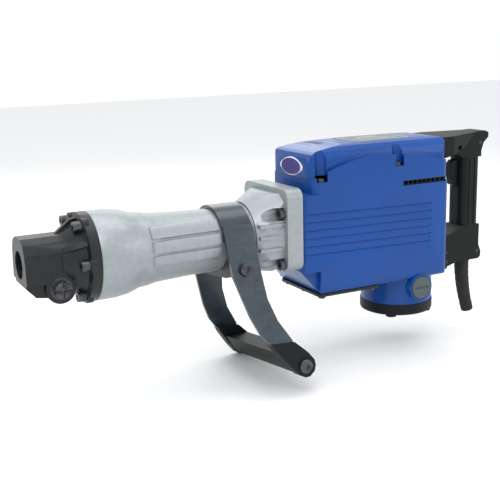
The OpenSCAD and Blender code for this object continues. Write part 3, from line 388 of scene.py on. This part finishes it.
def guard_sleeve(made):
    """Tapered rubber sleeve on a gentle bend, faintly ribbed and open at its mouth."""
    bend_radius, bend, steps = 0.247, math.radians(17.0), 28
    top, tip = -0.064, 0.012
    start_x, start_z = 0.700, -0.086
    collar_r, shoulder_r, body_r, taper, mouth_r, bore_r = 10.8, 11.8, 11.4, 1.9, 9.5, 5.2
    rib_height, rib_spacing, sides = 0.35, 4, 40
    bm = bmesh.new()
    places = [(Vector((start_x, 0, top)), 0.0), (Vector((start_x, 0, start_z)), 0.0)]
    for k in range(1, steps + 1):
        turn = bend * k / steps
        places.append((Vector((start_x + bend_radius * (1 - math.cos(turn)), 0,
                               start_z - bend_radius * math.sin(turn))), turn))
    last = places[-1][0]
    places.append((last + Vector((math.sin(bend), 0, -math.cos(bend))) * tip, bend))
    radii = [collar_r * MM, shoulder_r * MM]
    for k in range(1, steps + 1):
        rib = rib_height * MM if k % rib_spacing == 0 else 0.0
        radii.append((body_r - taper * k / steps) * MM + rib)
    radii.append(mouth_r * MM)
    ring = bmesh.ops.create_circle(bm, segments=sides, radius=1.0)["verts"]
    shape = [v.co.copy() for v in ring]
    edges = list({e for v in ring for e in v.link_edges})

    def put(verts, order, place, turn, radius):
        turned = Matrix.Rotation(-turn, 3, "Y")
        for v, k in zip(verts, order):
            v.co = place + turned @ (shape[k] * radius)

    def grow(edges, order, place, turn, radius):
        lookup = {v.index: k for v, k in order.items()}
        made_now = bmesh.ops.extrude_edge_only(bm, edges=edges)["geom"]
        verts = [g for g in made_now if isinstance(g, bmesh.types.BMVert)]
        new_edges = [g for g in made_now if isinstance(g, bmesh.types.BMEdge)
                     and all(v in verts for v in g.verts)]
        fresh = {}
        for v in verts:
            near = next(e.other_vert(v) for e in v.link_edges if e.other_vert(v) not in verts)
            fresh[v] = order[near]
        put(list(fresh), list(fresh.values()), place, turn, radius)
        return new_edges, fresh

    order = {v: k for k, v in enumerate(ring)}
    put(ring, range(len(ring)), *places[0], radii[0])
    for (place, turn), radius in list(zip(places, radii))[1:]:
        edges, order = grow(edges, order, place, turn, radius)
    # inside wall of the mouth, back up the bore
    for (place, turn) in (places[-1], places[-2], places[-8]):
        edges, order = grow(edges, order, place, turn, bore_r * MM)
    bmesh.ops.recalc_face_normals(bm, faces=bm.faces[:])
    mesh = bpy.data.meshes.new("cord_guard_sleeve")
    bm.to_mesh(mesh)
    bm.free()
    for polygon in mesh.polygons:
        polygon.use_smooth = True
    mesh.set_sharp_from_angle(angle=math.radians(40))
    return add_object("cord_guard_sleeve", mesh, made, "tool", ["cord_guard"])


# ---- settings ----
def colour_property(name, description, default):
    return bpy.props.FloatVectorProperty(name=name, description=description, subtype="COLOR",
                                         size=3, min=0.0, max=1.0, default=default)


def width_property(name, description, default):
    return bpy.props.FloatProperty(name=name, description=description, default=default, min=0.05,
                                   max=6.0)


class HammerLooks(bpy.types.PropertyGroup):
    enamel_colour: colour_property("Enamel", "Colour of the housing's blue paint",
                                   (0.003, 0.048, 0.225))
    silver_colour: colour_property("Silver", "Colour of the cast barrel", (0.33, 0.36, 0.37))
    casting_colour: colour_property("Black casting", "Colour of the nose casting",
                                    (0.005, 0.006, 0.0065))
    band_colour: colour_property("Side handle", "Colour of the steel band and its arms",
                                 (0.020, 0.032, 0.040))
    moulding_colour: colour_property("Moulding", "Colour of the black mouldings",
                                     (0.005, 0.0065, 0.0065))
    plate_colour: colour_property("Rating plate", "Colour of the foil on top", (0.002, 0.055, 0.070))
    badge_colour: colour_property("Badge", "Colour of the oval badge", (0.020, 0.012, 0.14))


class HammerEdges(bpy.types.PropertyGroup):
    housing: width_property("Housing", "Edge rounding of the painted housing, mm", 1.6)
    casting: width_property("Castings", "Edge rounding of the castings, mm", 1.0)
    handle: width_property("Handles", "Edge rounding of the mouldings held by hand, mm", 2.6)
    fastener: width_property("Fasteners", "Edge rounding of bolt and screw heads, mm", 0.4)


def edges():
    return bpy.context.scene.hammer_edges


FOIL_EDGE, BADGE_EDGE = 0.3, 1.2    # edge rounding of the two stuck-on plates, mm


class HammerOperator(bpy.types.Operator):
    bl_options = {"REGISTER", "UNDO"}


class HAMMER_OT_nose(HammerOperator):
    """Black nose casting with its bolts and the turning tool retainer"""
    bl_idname = "hammer.nose"
    bl_label = "Nose"

    def execute(self, context):
        soft_edged("front_cover", black_casting(), edges().casting)
        soft_edged("front_cover_bolts", blackened_steel(), edges().fastener)
        soft_edged("tool_retainer", blackened_steel(), edges().fastener)
        dress(["retainer_clip"], machined_steel())
        return {"FINISHED"}


class HAMMER_OT_barrel(HammerOperator):
    """Silver cylinder case with its bolts, and the crank case behind it"""
    bl_idname = "hammer.barrel"
    bl_label = "Barrel and crank case"

    def execute(self, context):
        soft_edged("cylinder_case", silver_casting(), edges().casting)
        soft_edged("cylinder_case_bolts", blackened_steel(), edges().fastener)
        soft_edged("crank_case", silver_casting(), edges().casting)
        return {"FINISHED"}


class HAMMER_OT_side_handle(HammerOperator):
    """Steel stirrup round the neck with its saddle, grip and bolts"""
    bl_idname = "hammer.side_handle"
    bl_label = "Side handle"

    def execute(self, context):
        soft_edged("side_handle_frame", band_steel(), edges().fastener * 2)
        soft_edged("clamp_saddle", black_casting(), edges().casting)
        soft_edged("side_grip", black_moulding(), edges().handle)
        for name in ("clamp_bolts", "grip_bolts"):
            soft_edged(name, blackened_steel(), edges().fastener)
        return {"FINISHED"}


class HAMMER_OT_housing(HammerOperator):
    """Blue motor housing and gear cover with their screws"""
    bl_idname = "hammer.housing"
    bl_label = "Housing"

    def execute(self, context):
        for name in ("motor_housing", "gear_cover"):
            soft_edged(name, blue_enamel(), edges().housing)
        soft_edged("gear_cover_screws", blackened_steel(), edges().fastener)
        return {"FINISHED"}


class HAMMER_OT_trim(HammerOperator):
    """Rating plate, badge, vents, bottom cover, tail cover and brush caps"""
    bl_idname = "hammer.trim"
    bl_label = "Covers and trim"

    def execute(self, context):
        soft_edged("name_plate", plate_foil(), FOIL_EDGE)
        soft_edged("front_badge", badge_enamel(), BADGE_EDGE, segments=3)
        dress(["vent_grilles"], black_moulding())
        soft_edged("bottom_cover", black_casting(), edges().casting)
        soft_edged("tail_cover", black_moulding(), edges().casting)
        soft_edged("brush_caps", cap_moulding(), edges().casting)
        for name in ("bottom_cover_bolts", "tail_cover_screws"):
            soft_edged(name, blackened_steel(), edges().fastener)
        return {"FINISHED"}


class HAMMER_OT_rear_handle(HammerOperator):
    """Two handle halves with trigger, screws and cord guard"""
    bl_idname = "hammer.rear_handle"
    bl_label = "Rear handle"

    def execute(self, context):
        for name in ("handle_left", "handle_right"):
            soft_edged(name, black_moulding(), edges().handle, segments=3)
        soft_edged("trigger", black_moulding(), edges().casting)
        for name in ("handle_screws", "handle_mount_bolts"):
            soft_edged(name, blackened_steel(), edges().fastener)
        dress(["switch_body", "cord_clamp"], black_moulding())
        dress(["trigger_spring"], machined_steel())
        guard_sleeve(black_rubber())
        return {"FINISHED"}


class HAMMER_OT_drive(HammerOperator):
    """Impact drive, gears, motor and bearings inside the housing"""
    bl_idname = "hammer.drive"
    bl_label = "Inner drive"

    def execute(self, context):
        dress(["hammer_holder", "impact_cylinder", "piston", "connecting_rod", "final_gear",
               "first_gear", "crank_bearings", "second_shaft_bearings", "motor_bearings",
               "brush_springs"], machined_steel())
        dress(["second_hammer", "striker", "piston_pin", "crankshaft", "second_shaft",
               "armature_shaft"], blackened_steel())
        dress(["damper_ring", "striker_o_ring", "piston_o_rings"], black_rubber())
        dress(["armature_core", "commutator"], copper_winding())
        dress(["stator"], stacked_iron())
        dress(["brush_holders"], bare_brass())
        dress(["carbon_brushes"], pressed_carbon())
        dress(["fan"], black_moulding())
        return {"FINISHED"}


# ---- stage ----
CAMERA_PLACE = Vector((-0.25052, -1.10228, 0.26412))
CAMERA_YAW = math.radians(63.051)
CAMERA_PITCH = math.radians(-13.114)
CAMERA_ROLL = -0.02668
CAMERA_SENSOR, CAMERA_LENS = 36.0, 65.84
CAMERA_SHIFT = (0.0147, 0.0046)

STAGE_MIDDLE = (0.38, 0.0, 0.0)
# name, place, size and power in watts
LAMPS = (("Key", (-0.4, -1.1, 1.5), (1.4, 1.0), 14),
         ("Overhead", (0.5, 0.2, 1.7), (1.6, 1.2), 12),
         ("Fill", (1.7, -1.2, 0.7), (1.2, 1.0), 5),
         ("Back", (0.8, 1.7, 1.0), (1.4, 1.0), 6))
SKY_COLOUR, SKY_STRENGTH = (0.95, 0.96, 0.98, 1), 1.05
FLOOR_SIZE, FLOOR_SQUARES, FLOOR_X = 6.0, 24, 0.35
FLOOR_GAP = 0.5 * MM        # between the lowest piece and the floor


def add_camera():
    forward = Vector((math.cos(CAMERA_PITCH) * math.cos(CAMERA_YAW),
                      math.cos(CAMERA_PITCH) * math.sin(CAMERA_YAW), math.sin(CAMERA_PITCH)))
    right = Vector((math.sin(CAMERA_YAW), -math.cos(CAMERA_YAW), 0))
    up = right.cross(forward)
    turn_c, turn_s = math.cos(CAMERA_ROLL), math.sin(CAMERA_ROLL)
    right, up = right * turn_c + up * turn_s, up * turn_c - right * turn_s
    data = bpy.data.cameras.new("Camera")
    data.sensor_width = CAMERA_SENSOR
    data.lens = CAMERA_LENS
    data.shift_x, data.shift_y = CAMERA_SHIFT
    data.dof.use_dof = False
    camera = bpy.data.objects.new("Camera", data)
    turn = Matrix((right, up, -forward)).transposed()
    camera.matrix_world = Matrix.Translation(CAMERA_PLACE) @ turn.to_4x4()
    bpy.context.scene.collection.objects.link(camera)
    bpy.context.scene.camera = camera


def add_lamp(name, place, target, size, power):
    data = bpy.data.lights.new(name, "AREA")
    data.shape = "RECTANGLE"
    data.size, data.size_y = size
    data.energy = power
    lamp = bpy.data.objects.new(name, data)
    lamp.location = place
    lamp.rotation_euler = (Vector(target) - Vector(place)).to_track_quat("-Z", "Y").to_euler()
    bpy.context.scene.collection.objects.link(lamp)


def add_floor():
    bm = bmesh.new()
    bmesh.ops.create_grid(bm, x_segments=FLOOR_SQUARES, y_segments=FLOOR_SQUARES, size=FLOOR_SIZE)
    bmesh.ops.translate(bm, verts=bm.verts[:], vec=(FLOOR_X, 0, CAD_BOX[0].z - FLOOR_GAP))
    mesh = bpy.data.meshes.new("studio_floor")
    bm.to_mesh(mesh)
    bm.free()
    floor = bpy.data.objects.new("studio_floor", mesh)
    bpy.context.scene.collection.objects.link(floor)
    mesh.materials.append(finish_of("Studio paper", (0.86, 0.86, 0.86), (0.84, 0.84, 0.84), 0.8,
                                    0.03, "moulded", 30, 0.02))


class HAMMER_OT_stage(HammerOperator):
    """Pale floor, soft lamps and the camera"""
    bl_idname = "hammer.stage"
    bl_label = "Stage"

    def execute(self, context):
        add_camera()
        add_floor()
        for name, place, size, power in LAMPS:
            add_lamp(name, place, STAGE_MIDDLE, size, power)
        world = bpy.data.worlds.new("Studio")
        world.use_nodes = True
        sky = world.node_tree.nodes["Background"]
        sky.inputs["Color"].default_value = SKY_COLOUR
        sky.inputs["Strength"].default_value = SKY_STRENGTH
        context.scene.world = world
        context.scene.view_settings.view_transform = "Standard"
        return {"FINISHED"}


STEPS = (HAMMER_OT_nose, HAMMER_OT_barrel, HAMMER_OT_side_handle, HAMMER_OT_housing,
         HAMMER_OT_trim, HAMMER_OT_rear_handle, HAMMER_OT_drive, HAMMER_OT_stage)


class HAMMER_PT_panel(bpy.types.Panel):
    """Lists the steps that make the hammer"""
    bl_idname = "HAMMER_PT_panel"
    bl_label = "Demolition hammer"
    bl_space_type = "VIEW_3D"
    bl_region_type = "UI"
    bl_category = "Hammer"

    def draw(self, context):
        for group in (context.scene.hammer_looks, context.scene.hammer_edges):
            box = self.layout.box()
            for key in group.__annotations__:
                box.prop(group, key)
        for step in STEPS:
            self.layout.operator(step.bl_idname)


CLASSES = (HammerLooks, HammerEdges, *STEPS, HAMMER_PT_panel)


def register():
    for made in CLASSES:
        bpy.utils.register_class(made)
    bpy.types.Scene.hammer_looks = bpy.props.PointerProperty(type=HammerLooks)
    bpy.types.Scene.hammer_edges = bpy.props.PointerProperty(type=HammerEdges)


def unregister():
    del bpy.types.Scene.hammer_edges
    del bpy.types.Scene.hammer_looks
    for made in reversed(CLASSES):
        bpy.utils.unregister_class(made)


def main():
    register()
    for step in STEPS:
        group, name = step.bl_idname.split(".")
        getattr(getattr(bpy.ops, group), name)()


if __name__ == "__main__":
    main()
